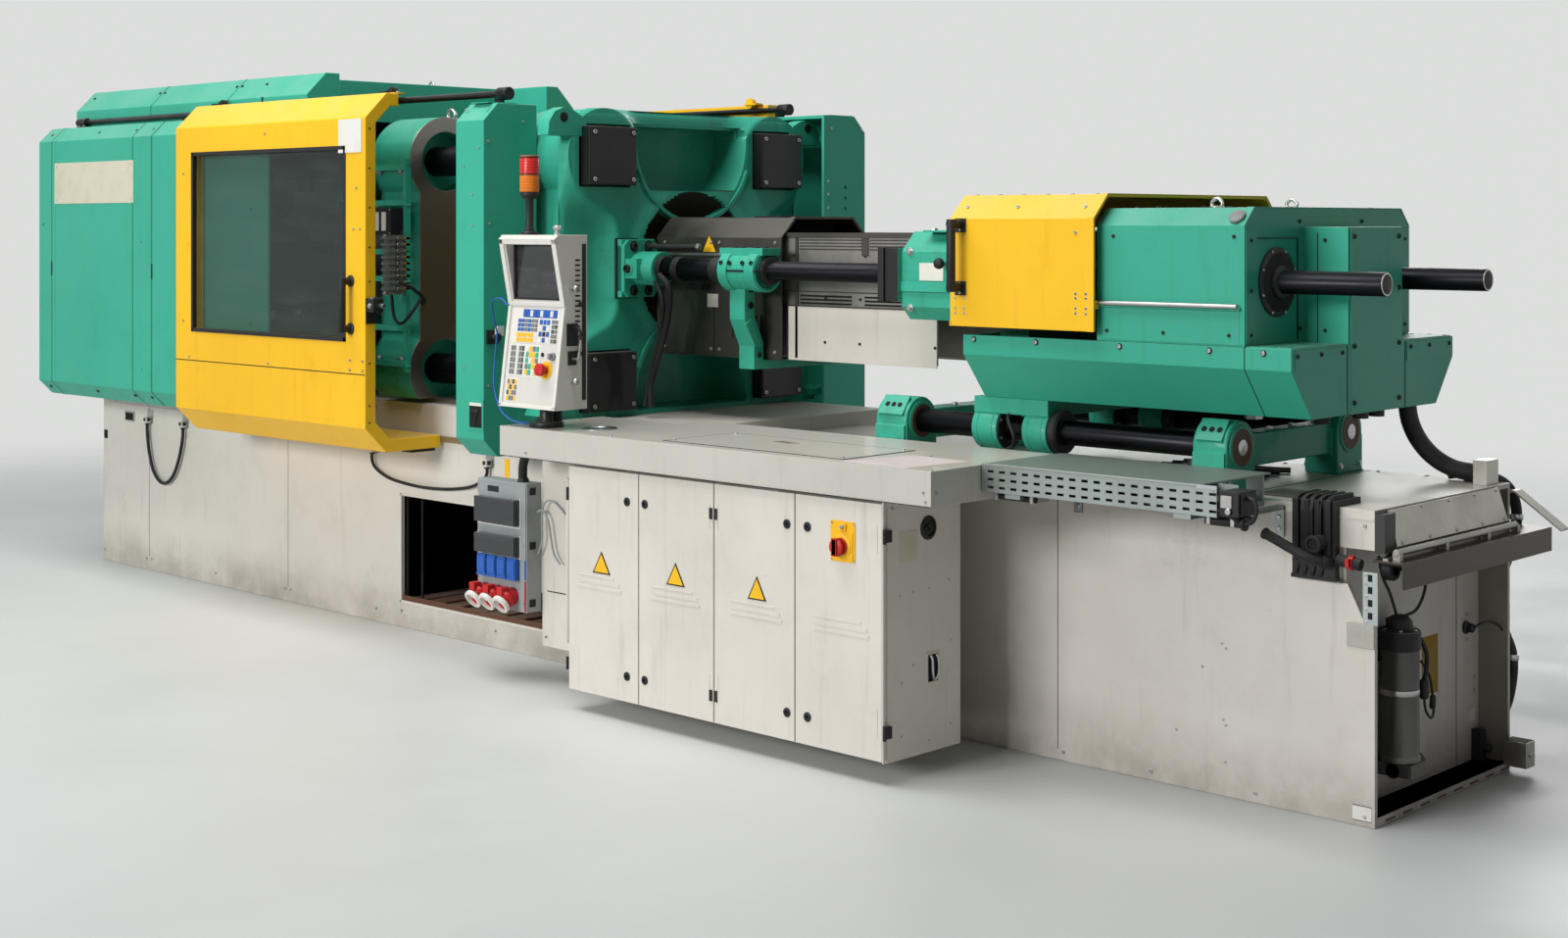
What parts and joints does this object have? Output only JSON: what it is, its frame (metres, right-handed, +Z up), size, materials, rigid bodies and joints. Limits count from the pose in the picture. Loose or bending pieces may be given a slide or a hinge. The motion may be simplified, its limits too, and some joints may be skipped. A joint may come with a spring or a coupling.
{
  "type": "injection moulding machine",
  "caption": "Large hydraulic tie-bar injection moulding machine with sliding guards, two platens, a travelling injection unit, control panel and switch cabinet.",
  "frame": {"origin": "on the floor under the mould face of the fixed platen, on the machine centre line", "axes": "+X along the machine from the clamping unit to the injection unit, +Z up, the operator side at -Y"},
  "size_m": [6.282, 1.891, 2.085],
  "materials": {
    "green_paint": "satin",
    "yellow_paint": "satin",
    "white_paint": "satin",
    "black_paint": "satin",
    "black_plastic": "matte",
    "ground_steel": "satin",
    "stainless_sheet": "satin",
    "galvanised": "satin",
    "grey_paint": "satin",
    "screen_glass": "gloss",
    "window_glass": "gloss",
    "signal_red": "gloss",
    "hose_rubber": "matte",
    "dark_steel": "satin"
  },
  "bodies": {
    "root": {"clamp_base": "white_paint", "injection_base": "white_paint", "table_top": "white_paint", "cabinet_body": "white_paint", "socket_box": "grey_paint", "cover_operator_side": "green_paint", "cover_far_side": "green_paint", "top_hood": "green_paint", "post_operator_side": "green_paint", "post_far_side": "green_paint", "door_rails": "black_paint", "fixed_platen": "green_paint", "nut_covers": "black_paint", "tie_bars": "ground_steel", "end_platen": "green_paint", "clamp_cylinder": "green_paint", "platen_rails": "ground_steel", "traverse_rods": "dark_steel", "rod_brackets": "green_paint", "nozzle_guard": "stainless_sheet", "guide_bars": "dark_steel", "bar_supports": "green_paint", "cable_tray": "galvanised", "hose_manifold": "black_plastic", "oil_filter": "grey_paint", "end_plates": "stainless_sheet", "pump_unit": "grey_paint", "panel_base": "black_paint", "loop_cable": "hose_rubber", "sag_cable": "hose_rubber", "rear_hose": "hose_rubber"},
    "operator_door": {"operator_door": "yellow_paint", "operator_window": "window_glass", "operator_fittings": "black_plastic"},
    "rear_door": {"rear_door": "yellow_paint"},
    "moving_platen": {"moving_platen": "green_paint", "clamp_piston": "ground_steel"},
    "ejector": {"ejector": "ground_steel"},
    "carriage": {"carriage": "green_paint", "injection_head": "green_paint", "barrel": "ground_steel", "barrel_cover": "white_paint", "rear_hood": "green_paint", "lower_housing": "green_paint"},
    "injection_hood": {"injection_hood": "yellow_paint", "hood_handle": "black_plastic"},
    "screw_thrust": {"screw_thrust": "grey_paint"},
    "screw": {"screw": "ground_steel"},
    "cabinet_door_1": {"cabinet_door_1": "white_paint"},
    "cabinet_door_2": {"cabinet_door_2": "white_paint"},
    "cabinet_door_3": {"cabinet_door_3": "white_paint"},
    "cabinet_door_4": {"cabinet_door_4": "white_paint"},
    "main_switch": {"main_switch": "signal_red"},
    "panel": {"panel_housing": "white_paint", "panel_screen": "screen_glass", "signal_tower": "signal_red"},
    "e_stop": {"e_stop": "signal_red"},
    "key_switch": {"key_switch": "black_plastic"},
    "socket_flap_upper": {"socket_flap_upper": "black_plastic"},
    "socket_flap_lower": {"socket_flap_lower": "black_plastic"}
  },
  "joints": [
    {"name": "operator_door_slide", "type": "slide", "parent": "root", "child": "operator_door", "axis": [1, 0, 0], "range_m": [-0.7, 0.45]},
    {"name": "rear_door_slide", "type": "slide", "parent": "root", "child": "rear_door", "axis": [1, 0, 0], "range_m": [-1.15, 0]},
    {"name": "clamp_stroke", "type": "slide", "parent": "root", "child": "moving_platen", "axis": [1, 0, 0], "range_m": [-0.4, 0.3]},
    {"name": "ejector_stroke", "type": "slide", "parent": "moving_platen", "child": "ejector", "axis": [1, 0, 0], "range_m": [0, 0.14]},
    {"name": "carriage_stroke", "type": "slide", "parent": "root", "child": "carriage", "axis": [1, 0, 0], "range_m": [-0.22, 0.45]},
    {"name": "hood_slide", "type": "slide", "parent": "carriage", "child": "injection_hood", "axis": [1, 0, 0], "range_m": [0, 0.44]},
    {"name": "injection_stroke", "type": "slide", "parent": "carriage", "child": "screw_thrust", "axis": [1, 0, 0], "range_m": [0, 0.3]},
    {"name": "screw_turn", "type": "hinge", "parent": "screw_thrust", "child": "screw", "pos_m": [1.96, 0, 1.35], "axis": [1, 0, 0], "continuous": true},
    {"name": "cabinet_door_1_hinge", "type": "hinge", "parent": "root", "child": "cabinet_door_1", "pos_m": [0.716, -0.94, 0.4], "axis": [0, 0, 1], "range_deg": [-110, 0]},
    {"name": "cabinet_door_2_hinge", "type": "hinge", "parent": "root", "child": "cabinet_door_2", "pos_m": [1.355, -0.94, 0.4], "axis": [0, 0, 1], "range_deg": [0, 90]},
    {"name": "cabinet_door_3_hinge", "type": "hinge", "parent": "root", "child": "cabinet_door_3", "pos_m": [1.359, -0.94, 0.4], "axis": [0, 0, 1], "range_deg": [-90, 0]},
    {"name": "cabinet_door_4_hinge", "type": "hinge", "parent": "root", "child": "cabinet_door_4", "pos_m": [1.998, -0.94, 0.4], "axis": [0, 0, 1], "range_deg": [0, 110]},
    {"name": "main_switch_turn", "type": "hinge", "parent": "cabinet_door_4", "child": "main_switch", "pos_m": [1.858, -0.94, 0.628], "axis": [0, -1, 0], "range_deg": [0, 90]},
    {"name": "panel_swivel", "type": "hinge", "parent": "root", "child": "panel", "pos_m": [0.525, -0.87, 0.92], "axis": [0, 0, 1], "range_deg": [-45, 45]},
    {"name": "e_stop_press", "type": "slide", "parent": "panel", "child": "e_stop", "axis": [0, 0.9916, -0.1293], "range_m": [0, 0.006], "stiffness_N_per_m": 600},
    {"name": "key_switch_turn", "type": "hinge", "parent": "panel", "child": "key_switch", "pos_m": [0.626, -0.92835, 1.086], "axis": [0, -0.9916, 0.1293], "range_deg": [0, 90]},
    {"name": "socket_flap_upper_hinge", "type": "hinge", "parent": "root", "child": "socket_flap_upper", "pos_m": [0.214, -0.8123, 0.598], "axis": [-1, 0, 0], "range_deg": [0, 90]},
    {"name": "socket_flap_lower_hinge", "type": "hinge", "parent": "root", "child": "socket_flap_lower", "pos_m": [0.214, -0.8123, 0.476], "axis": [-1, 0, 0], "range_deg": [0, 90]}
  ]
}
